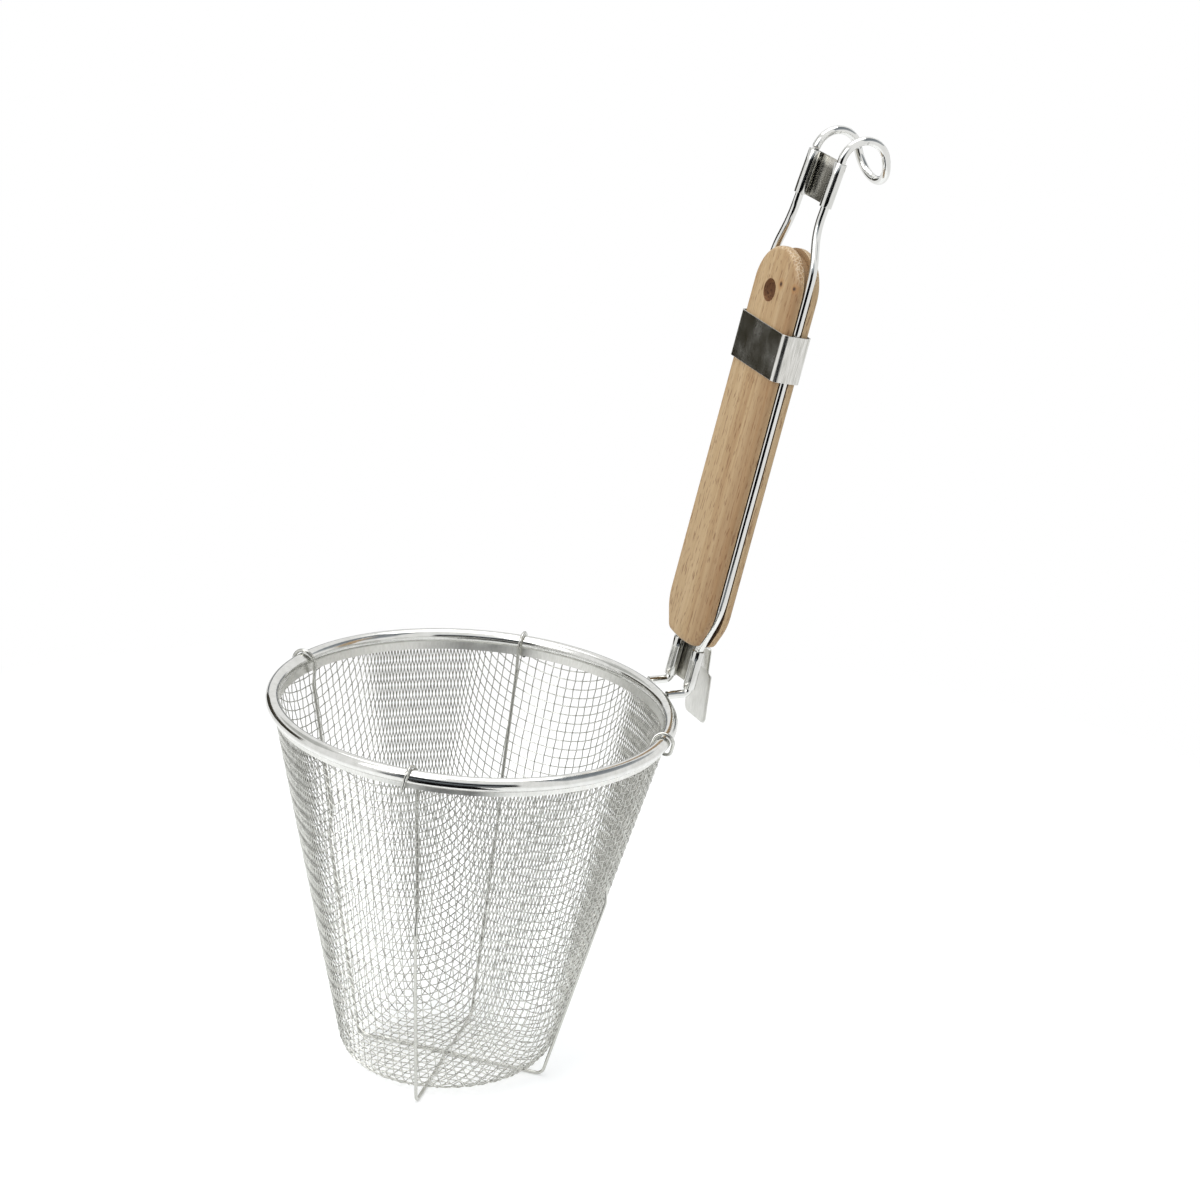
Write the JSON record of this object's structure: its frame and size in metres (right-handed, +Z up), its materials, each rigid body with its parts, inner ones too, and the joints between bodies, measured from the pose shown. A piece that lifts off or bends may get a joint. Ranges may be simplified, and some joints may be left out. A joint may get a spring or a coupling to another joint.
{
  "type": "mesh strainer",
  "caption": "Deep woven-mesh strainer cup with a rolled rim, crossed support wires, a long wooden grip and a hanging hook, for draining food in a pot.",
  "frame": {"origin": "place of the pot's edge: under the two handle wires, between the rim and the rest tab", "axes": "+Z up along the cup's axis, +X from the cup towards the handle, Y across the grip"},
  "size_m": [0.2062, 0.14, 0.3316],
  "materials": {
    "polished_steel": "polished",
    "satin_steel": "satin",
    "drawn_wire": "drawn",
    "beech": "oiled"
  },
  "bodies": {
    "strainer": {"rim_band": "polished_steel", "rim_core_wire": "drawn_wire", "mesh_basket": "drawn_wire", "support_wire_a": "drawn_wire", "support_wire_b": "drawn_wire", "handle_wire": "polished_steel", "lower_clip": "satin_steel", "upper_clip": "satin_steel", "grip": "beech"},
    "band": {"grip_band": "polished_steel"}
  },
  "joints": [
    {"name": "band_slide", "type": "slide", "parent": "strainer", "child": "band", "axis": [0.1857, 0, 0.9826], "range_m": [-0.08, 0.018]}
  ]
}
